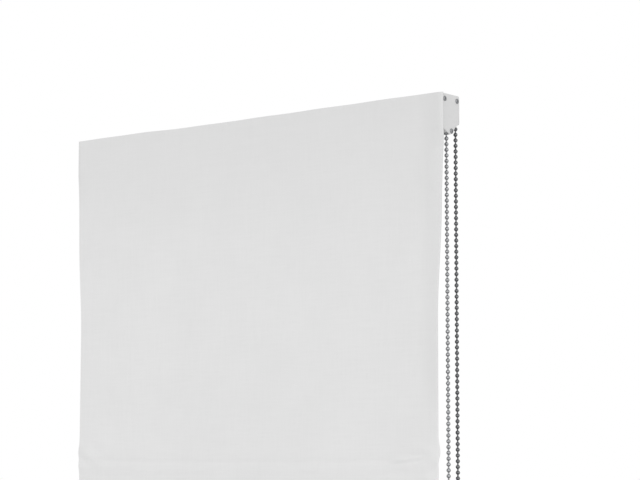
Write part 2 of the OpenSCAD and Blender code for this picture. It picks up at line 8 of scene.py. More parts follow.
import bpy
import numpy as np
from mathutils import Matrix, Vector


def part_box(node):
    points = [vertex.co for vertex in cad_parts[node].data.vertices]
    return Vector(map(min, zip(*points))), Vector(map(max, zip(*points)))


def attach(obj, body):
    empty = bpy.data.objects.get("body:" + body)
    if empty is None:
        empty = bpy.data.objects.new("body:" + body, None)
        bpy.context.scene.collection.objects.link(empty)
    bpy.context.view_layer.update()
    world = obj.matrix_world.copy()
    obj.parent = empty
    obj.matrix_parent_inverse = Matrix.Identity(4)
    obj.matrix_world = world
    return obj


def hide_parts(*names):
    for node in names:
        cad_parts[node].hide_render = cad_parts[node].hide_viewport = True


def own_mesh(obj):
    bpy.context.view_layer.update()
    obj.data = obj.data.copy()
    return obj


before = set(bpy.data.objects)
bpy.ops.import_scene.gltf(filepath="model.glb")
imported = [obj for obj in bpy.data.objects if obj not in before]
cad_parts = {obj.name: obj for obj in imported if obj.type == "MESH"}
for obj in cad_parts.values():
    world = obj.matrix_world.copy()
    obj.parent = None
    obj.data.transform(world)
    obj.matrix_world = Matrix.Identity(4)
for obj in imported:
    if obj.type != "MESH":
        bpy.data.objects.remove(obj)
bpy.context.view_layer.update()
MM = 0.001


def node_box(name):
    """Lowest and highest corner of a CAD node, in millimetres."""
    low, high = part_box(name)
    return np.array(low) / MM, np.array(high) / MM


def node_centre(name):
    """Middle of a CAD node's box, in millimetres."""
    low, high = node_box(name)
    return (low + high) / 2


# Cloth: its box comes from the CAD node, its layers from the making of the blind. Its head, down to
# the head line, stays still when the blind is drawn up.
CLOTH_LOW, CLOTH_HIGH = node_box("fabric")
HALF_W = CLOTH_HIGH[0]
FRONT = CLOTH_LOW[1]
TOP = CLOTH_HIGH[2]
BOTTOM = CLOTH_LOW[2]
CLOTH_T = 0.8
LAYER_GAP = 0.2
SIDE_HEM = 20.0
TOP_HEM = 38.0
BOTTOM_HEM = 40.0
HEM_LINE = BOTTOM + BOTTOM_HEM
HEAD = 40.0
HEAD_LINE = TOP - HEAD

# Depths below the top edge: the tape holds the cloth flat, the rail ends, the cloth hangs free
HELD_FLAT = 36.0
RAIL_FOOT = 44.0
HANGS_FREE = 62.0

# How far the side edges draw in under the rail, more at the waist, and at the bottom hem,
# and how much of that each batten takes back
RAIL_DRAWN = 3.6
WAIST_DRAWN = 4.9
FOOT_DRAWN = 2.2
BATTEN_SPREAD = 2.4

# Battens, and the pockets that are sewn round them
BATTEN_NUMBERS = (1, 2, 3, 4)
BATTENS = [node_centre(f"batten_{i}") for i in BATTEN_NUMBERS]
BATTEN_Y = BATTENS[0][1]
POCKET_R = 3.2
POCKET_T = CLOTH_T * 0.7
POCKET_INSET = 13.2
GUIDE_WINDOW = 4.0

# Machine stitches
STITCH_PITCH = 3.6
STITCH_LENGTH = 2.6
SIDE_STITCH_R = 0.2
FOOT_STITCH_R = 0.22

# Lift cords: where each runs from and to, its radius, and where the two hang
CORD_TOP = node_box("lift_cord_left")[1][2]
CORD_LOW = node_box("lift_cord_left")[0][2]
CORD_R = 0.7
CORD_X = [node_centre("lift_cord_left")[0], node_centre("lift_cord_right")[0]]
CORD_Y = node_centre("lift_cord_left")[1]

# Ball chain: beads are counted down from the wheel's axis, and the connector takes the room of two.
# With an odd number of pockets the front run ends half a pitch from the rear run. Its beads are
# spread a hundredth wider, so that the first one fills the mouth of the control. A bead meets its
# wire at the neck angle, in degrees from its equator.
BEAD_R = 2.25
BEAD_PITCH = 6.0
NECK_ANGLE = 68
POCKETS = 9
FIRST_BEAD = 2
LAST_BEAD = 160
FRONT_BEADS = 157
CONNECTOR_BEAD = 130
CONNECTOR_ROOM = 2
CHAIN_X = node_centre("chain_front_run")[0]
FRONT_RUN_Y = node_centre("chain_front_run")[1]
REAR_RUN_Y = node_centre("chain_rear_run")[1]
WHEEL_Y = node_centre("drive_shaft")[1]
PITCH_R = REAR_RUN_Y - WHEEL_Y
AXIS_Z = CORD_TOP
BEND_Z = AXIS_Z - LAST_BEAD * BEAD_PITCH

# End cover of the control: its heights at the front and the back, where its nose starts and ends
# along Y, and the heel's place along Y and its height
COVER_T = 1.0
COVER_FRONT_H = 37.2
COVER_BACK_H = 30.6
COVER_NOSE = (-3.4, 1.0)
COVER_HEEL = (8.8, 34.6)
COVER_EASE = 2.2

# Camera, fitted to the photograph's view: its place in metres, and its turn and tilt in degrees
CAMERA_AT = (1.505004, -1.783020, -0.396237)
CAMERA_TURN = 38.397
CAMERA_TILT = 6.28
CAMERA_LENS = 115.51
CAMERA_SENSOR = 36.0


def srgb(code):
    """Linear colour of an sRGB hex code."""
    c = np.array([int(code[i:i + 2], 16) for i in (1, 3, 5)]) / 255
    lin = np.where(c <= 0.04045, c / 12.92, ((c + 0.055) / 1.055) ** 2.4)
    return (*lin.tolist(), 1.0)


def node(tree, kind, inputs=None, out=0, **settings):
    """Adds one shader node and gives back one of its outputs.

    An input is a value, or the socket that is linked to it.
    """
    made = tree.nodes.new("ShaderNode" + kind)
    for key, value in settings.items():
        setattr(made, key, value)
    for key, value in (inputs or {}).items():
        if isinstance(value, bpy.types.NodeSocket):
            tree.links.new(value, made.inputs[key])
        else:
            made.inputs[key].default_value = value
    return made.outputs[out]


def new_material(name, **values):
    """A Principled material with plain values on its sockets, and the Object coordinates it reads."""
    material = bpy.data.materials.new(name)
    material.use_nodes = True
    tree = material.node_tree
    shader = tree.nodes["Principled BSDF"]
    for key, value in values.items():
        shader.inputs[key.replace("_", " ")].default_value = value
    return material, tree, shader.inputs, node(tree, "TexCoord", out="Object")


def per_metre(size_mm):
    """Noise scale whose blotches have a given size."""
    return 1 / (size_mm * MM)


def bands_per_metre(pitch_mm):
    """Wave scale whose bands have a given pitch: a band is a twentieth of the texture's full turn."""
    return 2 * math.pi / (20 * pitch_mm * MM)


def woven_cloth():
    """Plain weave polyester: matt and even, with a little sheen and faint slubs along both threads.

    It is a little cloudy, and painted shade makes it darker towards the top, where the rail lies behind
    it, and along the right side hem.
    The threads are two to the millimetre. The slubs are drawn 2.2 mm thick, coarser than real ones,
    so that they show.
    """
    material, tree, shader, at = new_material(
        "plain_weave_polyester", Roughness=0.88, Sheen_Weight=0.08)
    # The darker tone serves both the random cloudiness and the painted shade.
    mottle_and_painted_shade = srgb("#dadada")
    # Painted shade: the cloth is painted darker towards the top, and along the right side hem down to its
    # lower part.
    painted_top_shade_range = {"From Min": -220 * MM, "From Max": 20 * MM, "To Max": 0.5}
    painted_hem_shade_range = {"From Min": 236 * MM, "From Max": 262 * MM, "To Max": 0.55}
    painted_hem_shade_reach = {"From Min": -400 * MM, "From Max": -300 * MM}
    height = node(tree, "SeparateXYZ", {"Vector": at}, out="Z")
    across = node(tree, "SeparateXYZ", {"Vector": at}, out="X")
    rail = node(tree, "MapRange", {"Value": height, **painted_top_shade_range}, interpolation_type="SMOOTHSTEP")
    turned = node(tree, "MapRange", {"Value": across, **painted_hem_shade_range}, interpolation_type="SMOOTHSTEP")
    above = node(tree, "MapRange", {"Value": height, **painted_hem_shade_reach}, interpolation_type="SMOOTHSTEP")
    hem = node(tree, "Math", {0: turned, 1: above}, operation="MULTIPLY")
    blotch = node(tree, "TexNoise", {"Vector": at, "Scale": per_metre(60.0), "Detail": 3.0})
    cloud = node(tree, "Math", {0: blotch, 1: 0.36}, operation="MULTIPLY")
    colour = node(tree, "MixRGB", {"Fac": cloud, "Color1": srgb("#eaeaea"), "Color2": mottle_and_painted_shade})
    # The rail and hem masks lay on painted shade.
    colour = node(tree, "MixRGB", {"Fac": rail, "Color1": colour, "Color2": mottle_and_painted_shade})
    colour = node(tree, "MixRGB", {"Fac": hem, "Color1": colour, "Color2": mottle_and_painted_shade})
    drawn_out = 0.08
    slub_mm = 2.2
    weft_at = node(tree, "Mapping", {"Vector": at, "Scale": (drawn_out, 1.0, 1.0)})
    warp_at = node(tree, "Mapping", {"Vector": at, "Scale": (1.0, 1.0, drawn_out)})
    weft = node(tree, "TexNoise", {"Vector": weft_at, "Scale": per_metre(slub_mm)})
    warp = node(tree, "TexNoise", {"Vector": warp_at, "Scale": per_metre(slub_mm)})
    slubs = node(tree, "Math", {0: weft, 1: warp}, operation="MULTIPLY")
    faint = node(tree, "Math", {0: slubs, 1: 0.4}, operation="MULTIPLY")
    colour = node(tree, "MixRGB", {"Fac": faint, "Color1": colour, "Color2": srgb("#d4d4d4")})
    tree.links.new(colour, shader["Base Color"])
    threads = {"Vector": at, "Scale": bands_per_metre(0.5)}
    upright = node(tree, "TexWave", threads, out="Fac", bands_direction="X")
    level = node(tree, "TexWave", threads, out="Fac", bands_direction="Z")
    weave = node(tree, "Math", {0: upright, 1: level}, operation="MULTIPLY")
    thread_h = 0.08 * MM
    relief = node(tree, "Bump", {"Height": weave, "Distance": thread_h, "Strength": 0.5})
    relief = node(tree, "Bump", {"Height": weft, "Distance": thread_h, "Strength": 0.2, "Normal": relief})
    tree.links.new(relief, shader["Normal"])
    return material


def plain_finish(name, light, dark, grain_mm, grain_depth, **values):
    """A plain surface: a fine grain in its relief, and a faint cloudiness of 9 mm in its colour."""
    material, tree, shader, at = new_material(name, **values)
    cloud = node(tree, "TexNoise", {"Vector": at, "Scale": per_metre(9.0)})
    colour = node(tree, "MixRGB", {"Fac": cloud, "Color1": srgb(light), "Color2": srgb(dark)})
    tree.links.new(colour, shader["Base Color"])
    grain = node(tree, "TexNoise", {"Vector": at, "Scale": per_metre(grain_mm), "Detail": 3.0})
    relief = node(tree, "Bump", {"Height": grain, "Distance": grain_depth * MM, "Strength": 0.3})
    tree.links.new(relief, shader["Normal"])
    return material


def drawn_aluminium():
    """Anodised aluminium, drawn along X: a satin grey with long fine streaks, 0.6 mm wide."""
    material, tree, shader, at = new_material("anodised_aluminium", Roughness=0.42, Metallic=0.75)
    drawn = node(tree, "Mapping", {"Vector": at, "Scale": (0.01, 1.0, 1.0)})
    streak = node(tree, "TexNoise", {"Vector": drawn, "Scale": per_metre(0.6)})
    faint = node(tree, "Math", {0: streak, 1: 0.2}, operation="MULTIPLY")
    colour = node(tree, "MixRGB", {"Fac": faint, "Color1": srgb("#c9ccce"), "Color2": srgb("#a9acae")})
    tree.links.new(colour, shader["Base Color"])
    relief = node(tree, "Bump", {"Height": streak, "Distance": 0.02 * MM, "Strength": 0.3})
    tree.links.new(relief, shader["Normal"])
    return material


def tape_pile(name, light, dark, pile_mm):
    """Woven nylon tape: a coarse dull pile, with painted shade darker down between its hooks or loops."""
    material, tree, shader, at = new_material(name, Roughness=0.9, IOR=1.53)
    pile = node(tree, "TexNoise", {"Vector": at, "Scale": per_metre(pile_mm), "Detail": 1.0})
    # Painted shade: the lower pile is painted darker.
    colour = node(tree, "MixRGB", {"Fac": pile, "Color1": srgb(dark), "Color2": srgb(light)})
    tree.links.new(colour, shader["Base Color"])
    relief = node(tree, "Bump", {"Height": pile, "Distance": 0.4 * MM, "Strength": 0.8})
    tree.links.new(relief, shader["Normal"])
    return material


def braided_cord():
    """Braided polyester: a dull white cord whose strands cross every two millimetres."""
    material, tree, shader, at = new_material("braided_polyester_cord", Roughness=0.8)
    slanted = node(tree, "TexWave", {"Vector": at, "Scale": bands_per_metre(1.1)}, out="Fac",
                   bands_direction="DIAGONAL")
    level = node(tree, "TexWave", {"Vector": at, "Scale": bands_per_metre(2.0)}, out="Fac",
                 bands_direction="Z")
    strands = node(tree, "Math", {0: slanted, 1: level}, operation="MULTIPLY")
    faint = node(tree, "Math", {0: strands, 1: 0.3}, operation="MULTIPLY")
    colour = node(tree, "MixRGB", {"Fac": faint, "Color1": srgb("#ecece9"), "Color2": srgb("#cfcfca")})
    tree.links.new(colour, shader["Base Color"])
    relief = node(tree, "Bump", {"Height": strands, "Distance": 0.12 * MM, "Strength": 0.7})
    tree.links.new(relief, shader["Normal"])
    return material


def nickel_beads():
    """Nickel plated brass, tumbled: bright with fine marks of 0.7 mm, and painted darker on the rear run
    as painted shade.

    The black tint makes each bead darken to its rim, a painted dark reflection.
    """
    # The black specular tint paints a dark reflection at each bead's rim.
    material, tree, shader, at = new_material(
        "nickel_plated_brass", Roughness=0.34, Metallic=1.0, Specular_Tint=srgb("#000000"))
    # Painted shade: the rear run is painted darker than the front run.
    depth = node(tree, "SeparateXYZ", {"Vector": at}, out="Y")
    between_runs = {"From Min": 1 * MM, "From Max": 6 * MM}
    rear = node(tree, "MapRange", {"Value": depth, **between_runs}, interpolation_type="SMOOTHSTEP")
    colour = node(tree, "MixRGB", {"Fac": rear, "Color1": srgb("#a0a1a3"), "Color2": srgb("#717274")})
    tree.links.new(colour, shader["Base Color"])
    marks = node(tree, "TexNoise", {"Vector": at, "Scale": per_metre(0.7)})
    relief = node(tree, "Bump", {"Height": marks, "Distance": 0.01 * MM, "Strength": 0.2})
    tree.links.new(relief, shader["Normal"])
    return material


CLOTH = woven_cloth()
ALUMINIUM = drawn_aluminium()
NICKEL = nickel_beads()
CORD = braided_cord()
HOOK_TAPE = tape_pile("nylon_hook_tape", "#e6e6e6", "#cecece", 0.7)
LOOP_TAPE = tape_pile("nylon_loop_tape", "#ececec", "#d8d8d8", 0.4)
# Spun polyester thread: soft and dull, a shade under the cloth
THREAD = plain_finish("spun_polyester_thread", "#dfe0e0", "#d9dada", 0.3, 0.05, Roughness=0.7)
# Moulded ABS: a pale grey with a spark-eroded texture that scatters the light
GREY_ABS = plain_finish("moulded_abs", "#dfdfdf", "#dbdbdb", 0.5, 0.02, Roughness=0.5, IOR=1.54)
# Moulded acetal: a slightly waxy white
WHITE_ACETAL = plain_finish("moulded_acetal", "#eeeeeb", "#eaeae7", 0.6, 0.01, Roughness=0.4, IOR=1.48)
# Pultruded glass fibre: a warm white rod with a satin skin
GLASS_FIBRE = plain_finish("pultruded_glass_fibre", "#edede8", "#e5e5e0", 0.8, 0.02, Roughness=0.45)
# Zinc plated pressed steel: cool grey, with soft spangles of 3 mm
ZINC_STEEL = plain_finish("zinc_plated_steel", "#c2c7ca", "#b0b5b8", 3.0, 0.02,
                          Roughness=0.35, Metallic=0.9)
# Black zinc plated screws: a dull dark grey
SCREW_STEEL = plain_finish("dark_plated_steel", "#96979a", "#8a8b8d", 0.8, 0.02,
                           Roughness=0.42, Metallic=0.6)
# Drawn spring wire: a smooth dark steel
SPRING_STEEL = plain_finish("drawn_spring_steel", "#8d9296", "#81868a", 0.8, 0.01,
                            Roughness=0.3, Metallic=0.95)

CAD_FINISH = {
    "headrail": ALUMINIUM, "bottom_bar": ALUMINIUM, "drive_shaft": ALUMINIUM,
    "bracket_left": ZINC_STEEL, "bracket_right": ZINC_STEEL, "brake_spring": SPRING_STEEL,
    "hook_tape": HOOK_TAPE, "loop_tape": LOOP_TAPE,
    "control_housing": GREY_ABS, "end_cap": GREY_ABS, "cover_screws": SCREW_STEEL,
    "chain_wheel": WHITE_ACETAL, "brake_hub": WHITE_ACETAL, "shaft_bush": WHITE_ACETAL,
    "spool_left": WHITE_ACETAL, "spool_right": WHITE_ACETAL,
    "cradle_left": WHITE_ACETAL, "cradle_right": WHITE_ACETAL,
    "bar_plugs": WHITE_ACETAL, "cord_anchors": WHITE_ACETAL, "cord_stops": WHITE_ACETAL,
    "chain_connector": NICKEL,
}
CAD_FINISH.update({f"batten_{i}": GLASS_FIBRE for i in BATTEN_NUMBERS})
CAD_FINISH.update({f"cord_guides_{i}": WHITE_ACETAL for i in BATTEN_NUMBERS})
for name, finish in CAD_FINISH.items():
    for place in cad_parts[name].material_slots:
        place.material = finish


def smooth(start, end, value):
    """0 at start, 1 at end, with level ends."""
    t = np.clip((value - start) / (end - start), 0, 1)
    return t * t * (3 - 2 * t)


def bell(value, width):
    """1 where the value is 0, falling to next to nothing at two widths on either side."""
    return np.exp(-(value / width) ** 2)


def grid_faces(rows, cols, closed=False):
    """Quads of a grid of points; closed joins the last column to the first."""
    index = np.arange(rows * cols).reshape(rows, cols)
    if closed:
        index = np.hstack([index, index[:, :1]])
    corners = [index[:-1, :-1], index[:-1, 1:], index[1:, 1:], index[1:, :-1]]
    return np.stack(corners, -1).reshape(-1, 4)


def closed_sheet(outer, inner):
    """A sheet between two grids of points of one size, with its edges closed."""
    rows, cols = outer.shape[:2]
    count = rows * cols
    face = grid_faces(rows, cols)
    index = np.arange(count).reshape(rows, cols)
    rim = np.concatenate([index[0], index[1:, -1], index[-1, -2::-1], index[-2:0:-1, 0]])
    after = np.roll(rim, -1)
    edge = np.stack([after, rim, rim + count, after + count], -1)
    points = np.concatenate([outer.reshape(-1, 3), inner.reshape(-1, 3)])
    return points, np.concatenate([face, face[:, ::-1] + count, edge]).tolist()


def joined(parts):
    """Several meshes, each of points and faces, as one."""
    points, faces, start = [], [], 0
    for part_points, part_faces in parts:
        points.append(part_points)
        faces += [[i + start for i in face] for face in part_faces]
        start += len(part_points)
    return np.concatenate(points), faces


def piece(name, mesh_data, material, body, replaces=(), sharp=None):
    """A finished object at the origin, riding on a body."""
    points, faces = mesh_data
    mesh = bpy.data.meshes.new(name)
    mesh.from_pydata((points * MM).tolist(), [], faces)
    mesh.materials.append(material)
    mesh.shade_smooth()
    if sharp:
        mesh.set_sharp_from_angle(angle=math.radians(sharp))
    made = bpy.data.objects.new(name, mesh)
    bpy.context.scene.collection.objects.link(made)
    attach(made, body)
    if replaces:
        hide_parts(*replaces)
    return made


def gathers(made):
    """Gives the piece a mesh of its own."""
    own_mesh(made)


def left_of(path, distance):
    """A path in a plane moved square to itself, to its left."""
    step = np.gradient(path, axis=0)
    step /= np.linalg.norm(step, axis=1, keepdims=True)
    return path + distance * np.stack([-step[:, 1], step[:, 0]], 1)


def arc(centre, radius, start, end, count):
    """Points on an arc in a plane, angles in degrees."""
    angle = np.radians(np.linspace(start, end, count))
    return np.stack([centre[0] + radius * np.cos(angle), centre[1] + radius * np.sin(angle)], 1)


def swept(path, xs, thickness):
    """A band of cloth: a path in (Y, Z), or one for each x, carried along X and thickened inwards."""
    paths = np.broadcast_to(path, (len(xs), *np.shape(path)[-2:]))
    inner = np.stack([left_of(p, thickness) for p in paths])
    along = np.broadcast_to(np.asarray(xs)[:, None, None], (*paths.shape[:2], 1))
    return closed_sheet(np.concatenate([along, paths], 2), np.concatenate([along, inner], 2))


def crease_line(x, batten_z):
    """Height of the crease in front of a batten.

    It sags with the fourth power of the distance from the middle, and rises again near the right end.
    """
    sag = 3.6
    rise = 3.2
    share = x / HALF_W
    return batten_z - sag * (1 - share ** 4) + rise * smooth(0.78, 0.97, share)


def cloth_free(z):
    """0 where the rail or the bottom bar holds the cloth flat, 1 where it hangs free."""
    bar_holds = 40
    return smooth(TOP - HELD_FLAT, TOP - HANGS_FREE, z) * smooth(HEM_LINE, HEM_LINE + bar_holds, z)


def cloth_depth(x, z):
    """How far the hung cloth lies behind its flat plane.

    The sum of broad slow waves, a groove at each crease with a soft shoulder above and below it, a
    short ridge with a tuck under it near the crease's right end, puckers that slant off the crease
    and grow to its ends, and side edges that roll back, most of all just under the rail. Each term
    is a depth times waves or bells, and their lengths are millimetres too.
    """
    free = cloth_free(z)
    share = x / HALF_W
    broad = 0.6 * np.sin(x / 95 + 0.6) * np.sin(z / 210)
    slanted = 0.45 * np.sin(x / 47 - z / 160 + 1.3)
    depth = free * (broad + slanted)
    right_end = smooth(0.76, 0.81, share) * smooth(0.94, 0.89, share)
    ends = smooth(HALF_W - 75, HALF_W - 8, np.abs(x))
    for number, batten in enumerate(BATTENS):
        d = z - crease_line(x, batten[2])
        groove = 0.32 * (1 - right_end) * bell(d, 2.6)
        shoulder = -0.55 * bell(d + 9, 6) - 0.25 * bell(d - 9, 7)
        slant = np.sin((x + 1.7 * d) / 7.3 + number) + 0.7 * np.sin((x - 2.1 * d) / 11.9 + 2 * number)
        pucker = (0.05 + 0.5 * ends) * bell(d, 15) * slant
        ridge = -1.0 * bell(d + 0.4, 1.9) + 0.55 * bell(d + 4.2, 1.7)
        depth = depth + groove + right_end * ridge + free * (shoulder + pucker)
    roll_w, tuck_w = 18, 6
    rim = np.clip((np.abs(x) - HALF_W + roll_w) / roll_w, 0, 1)
    tuck = np.clip((np.abs(x) - HALF_W + tuck_w) / tuck_w, 0, 1)
    below_rail = np.clip(TOP - 58 - z, 0, None)
    side = np.where(x > 0, 1.0, 0.25)
    roll = (1.1 + 1.8 * np.exp(-below_rail / 70)) * side
    return depth + free * roll * rim ** 2 + (1 - free) * 1.2 * tuck ** 2


def cloth_width(z):
    """How far each side edge draws in, in millimetres: least at the rail, the battens and the bar."""
    under_rail = RAIL_DRAWN * (1 - np.exp(-np.clip(TOP - RAIL_FOOT - z, 0, None) / 45))
    waist = WAIST_DRAWN * smooth(TOP - 124, TOP - 239, z)
    given_back = (RAIL_DRAWN + WAIST_DRAWN - FOOT_DRAWN) * smooth(HEM_LINE + 300, HEM_LINE, z)
    drawn = under_rail + waist - given_back
    for batten in BATTENS:
        drawn = drawn - BATTEN_SPREAD * bell(z - batten[2] - 5, 9)
    return drawn


def hung(x, y, z):
    """Flat points of the cloth moved to where they hang.

    The side edges draw in, the face takes its depth, the top edge waves and sags between its ends,
    and at the rail the right edge stands proud.
    """
    proud = 0.7 * smooth(TOP - HANGS_FREE, TOP - RAIL_FOOT, z) * smooth(HALF_W - 90, HALF_W, x)
    sag = 0.9 * smooth(-180, -110, x) * smooth(140, 30, x)
    wave = 0.2 * np.sin(x / 31 + 0.4) + 0.15 * np.sin(x / 13.5) - 0.35 - sag
    lift = wave * smooth(TOP - 14, TOP, z)
    across = x * (1 - cloth_width(z) / HALF_W) + proud
    return np.stack([across, y + cloth_depth(x, z), z + lift], -1)


def spaced(low, high, step, fine_at, fine_reach, fine_count):
    """Values from low to high at an even step, packed closer round some places.

    The packing follows a hyperbolic sine, and a value too close to the one before it is left out.
    """
    packing = 2.2
    closest = 0.2
    packed = np.sinh(np.linspace(-packing, packing, fine_count)) / np.sinh(packing) * fine_reach
    extra = [np.asarray(place) + packed for place in fine_at]
    values = np.concatenate([np.linspace(low, high, int((high - low) / step) + 1), *extra])
    values = np.unique(np.clip(values, low, high).round(2))
    return values[np.concatenate([[True], np.diff(values) > closest])]


def cloth_between(zs):
    """The cloth through a row of heights: a path across it, with the side hems folded to the back."""
    fold_r = CLOTH_T + LAYER_GAP / 2
    edge = HALF_W - fold_r
    xs = spaced(-edge, edge, step=6.5, fine_at=[-edge + 6, edge - 6], fine_reach=22, fine_count=15)
    flat = np.full(len(xs) - 2, FRONT)
    turned = np.linspace(edge - SIDE_HEM, edge, 7)[:-1]
    back = np.full(len(turned), FRONT + 2 * fold_r)
    right = arc((edge, FRONT + fold_r), fold_r, -90, 90, 7)
    left = arc((-edge, FRONT + fold_r), fold_r, 90, 270, 7)
    path = np.concatenate([
        np.stack([-turned, back], 1), left,
        np.stack([xs[1:-1], flat], 1), right,
        np.stack([turned[::-1], back], 1),
    ])
    inner = left_of(path, CLOTH_T)
    outer_x, z = np.meshgrid(path[:, 0], zs)
    outer_y = np.broadcast_to(path[:, 1], z.shape)
    inner_x = np.broadcast_to(inner[:, 0], z.shape)
    inner_y = np.broadcast_to(inner[:, 1], z.shape)
    return closed_sheet(hung(outer_x, outer_y, z), hung(inner_x, inner_y, z))


def top_hem():
    """The turned top edge behind the cloth, between the side hems."""
    ends = HALF_W - SIDE_HEM - 3
    xs = np.linspace(-ends, ends, 90)
    zs = np.linspace(TOP - TOP_HEM, TOP, 12)
    x, z = np.meshgrid(xs, zs)
    near = np.full(x.shape, FRONT + CLOTH_T)
    return closed_sheet(hung(x, near, z), hung(x, near + CLOTH_T, z))


def bottom_hem():
    """The bottom hem: down the front, round under the bar and up to the seam at the back.

    Its lower edge ripples along X and is raised by as much, so that it stays in the CAD node's box.
    """
    bar_high = node_box("bottom_bar")[1]
    bar_ease = 0.4
    turn_r = (bar_high[1] + bar_ease + CLOTH_T - FRONT) / 2
    centre = (FRONT + turn_r, BOTTOM + turn_r)
    back = FRONT + 2 * turn_r
    knee = bar_high[2] + 2
    rising = smooth(0, 1, np.linspace(0, 1, 7))
    path = np.concatenate([
        np.stack([np.full(8, FRONT), np.linspace(HEM_LINE, centre[1] + 1, 8)], 1),
        arc(centre, turn_r, 180, 360, 15),
        np.stack([np.full(6, back), np.linspace(centre[1] + 1, knee - 2, 6)], 1),
        np.stack([np.linspace(back, FRONT + 2 * CLOTH_T, 7), knee + (HEM_LINE - knee) * rising], 1),
    ])
    xs = np.linspace(FOOT_DRAWN - HALF_W, HALF_W - FOOT_DRAWN, 110)
    ripple = 0.22 * np.sin(xs / 17 + 0.5) + 0.15 * np.sin(xs / 7.1)
    raised = 0.37
    paths = np.repeat(path[None], len(xs), 0)
    paths[:, :, 1] += ripple[:, None] * smooth(HEM_LINE, BOTTOM + 10, path[:, 1]) + raised
    return swept(paths, xs, CLOTH_T)


def batten_pocket(batten_z):
    """The pocket that is sewn round a batten behind its crease, open where a cord guide sits.

    Most of a circle round the batten, its ends drawn to the crease, carried along X in three bands.
    """
    ring = arc((BATTEN_Y, batten_z), POCKET_R, -155, 155, 21)
    left_x, right_x = CORD_X
    ends = HALF_W - POCKET_INSET
    spans = [
        (-ends, left_x - GUIDE_WINDOW),
        (left_x + GUIDE_WINDOW, right_x - GUIDE_WINDOW),
        (right_x + GUIDE_WINDOW, ends),
    ]
    bands = []
    for start, end in spans:
        xs = np.linspace(start, end, max(8, int((end - start) / 5)))
        seam = crease_line(xs, batten_z)
        slack = 0.12 * np.sin(xs / 6.3) + 0.1 * np.sin(xs / 2.9)
        neck_y = FRONT + CLOTH_T + cloth_depth(xs, seam)
        low = np.stack([neck_y, seam - CLOTH_T], 1)
        high = np.stack([neck_y, seam + CLOTH_T], 1)
        rings = np.repeat(ring[None], len(xs), 0)
        rings[:, :, 1] += slack[:, None]
        bands.append(swept(np.concatenate([low[:, None], rings, high[:, None]], 1), xs, POCKET_T))
    return joined(bands)


def turned_rings(centres, tangents, side, along, radii, around, run_on):
    """A turned profile set at every centre, square to its tangent.

    run_on joins each profile to the next, as the wire of a ball chain does; otherwise each one is
    closed on its own, as stitches are.
    """
    angle = np.linspace(0, 2 * np.pi, around, endpoint=False)
    up = np.cross(tangents, side)
    spokes = np.cos(angle)[:, None] * np.asarray(side) + np.sin(angle)[:, None] * up[:, None, :]
    axis = centres[:, None, :] + np.asarray(along)[None, :, None] * tangents[:, None, :]
    rings = axis[:, :, None, :] + np.asarray(radii)[None, :, None, None] * spokes[:, None, :, :]
    strings = rings.reshape(1 if run_on else len(centres), -1, around, 3)
    rows = strings.shape[1]
    quads = grid_faces(rows, around, closed=True)
    starts = np.arange(len(strings)) * rows * around
    faces = (quads[None] + starts[:, None, None]).reshape(-1, 4).tolist()
    first = np.arange(around)
    faces += (first[None, ::-1] + starts[:, None]).tolist()
    faces += (first[None] + (rows - 1) * around + starts[:, None]).tolist()
    return strings.reshape(-1, 3), faces


def bead_chain(centres, tangents):
    """Beads on their wire: each bead a ball that necks down to the wire at both ends."""
    reach = np.radians(np.linspace(-NECK_ANGLE, NECK_ANGLE, 11))
    return turned_rings(centres, tangents, (1.0, 0.0, 0.0), BEAD_R * np.sin(reach),
                        BEAD_R * np.cos(reach), around=14, run_on=True)


def chain_run(run_y, places):
    """Beads of a hanging run, at places counted in pitches down from the wheel's axis."""
    z = AXIS_Z - BEAD_PITCH * np.asarray(places)
    centres = np.stack([np.full(len(z), CHAIN_X), np.full(len(z), run_y), z], 1)
    return bead_chain(centres, np.tile([0.0, 0.0, -1.0], (len(z), 1)))


def chain_turn(centre_z, first, last):
    """Beads on a circle of the wheel's size, one to a pocket, counted up from the rear run."""
    angle = np.arange(first, last + 1) * 2 * np.pi / POCKETS
    centres = np.stack([np.full(len(angle), CHAIN_X), WHEEL_Y + PITCH_R * np.cos(angle),
                        centre_z + PITCH_R * np.sin(angle)], 1)
    tangents = np.stack([np.zeros(len(angle)), -np.sin(angle), np.cos(angle)], 1)
    return bead_chain(centres, tangents)


def stitch_row(start, end, thick):
    """A row of machine stitches between two points, each a short spindle."""
    start, end = np.asarray(start, float), np.asarray(end, float)
    way = end - start
    count = int(np.linalg.norm(way) / STITCH_PITCH)
    centres = start + way * (np.arange(count)[:, None] + 0.5) / count
    tangents = np.tile(way / np.linalg.norm(way), (count, 1))
    along = STITCH_LENGTH * np.array([-0.5, -0.35, 0.0, 0.35, 0.5])
    radii = thick * np.array([0.3, 0.85, 1, 0.85, 0.3])
    return turned_rings(centres, tangents, (0.0, 1.0, 0.0), along, radii, around=6, run_on=False)


def hung_stitches(rows):
    """Stitch rows moved to where the cloth hangs."""
    points, faces = joined(rows)
    return hung(points[:, 0], points[:, 1], points[:, 2]), faces


def lift_cord(x):
    """A lift cord from its spool to the stop under the bottom bar."""
    count = 24
    z = np.linspace(CORD_TOP, CORD_LOW, count)
    centres = np.stack([np.full(count, x), np.full(count, CORD_Y), z], 1)
    tangents = np.tile([0.0, 0.0, -1.0], (count, 1))
    return turned_rings(centres, tangents, (1.0, 0.0, 0.0), [0.0], [CORD_R], around=10, run_on=True)


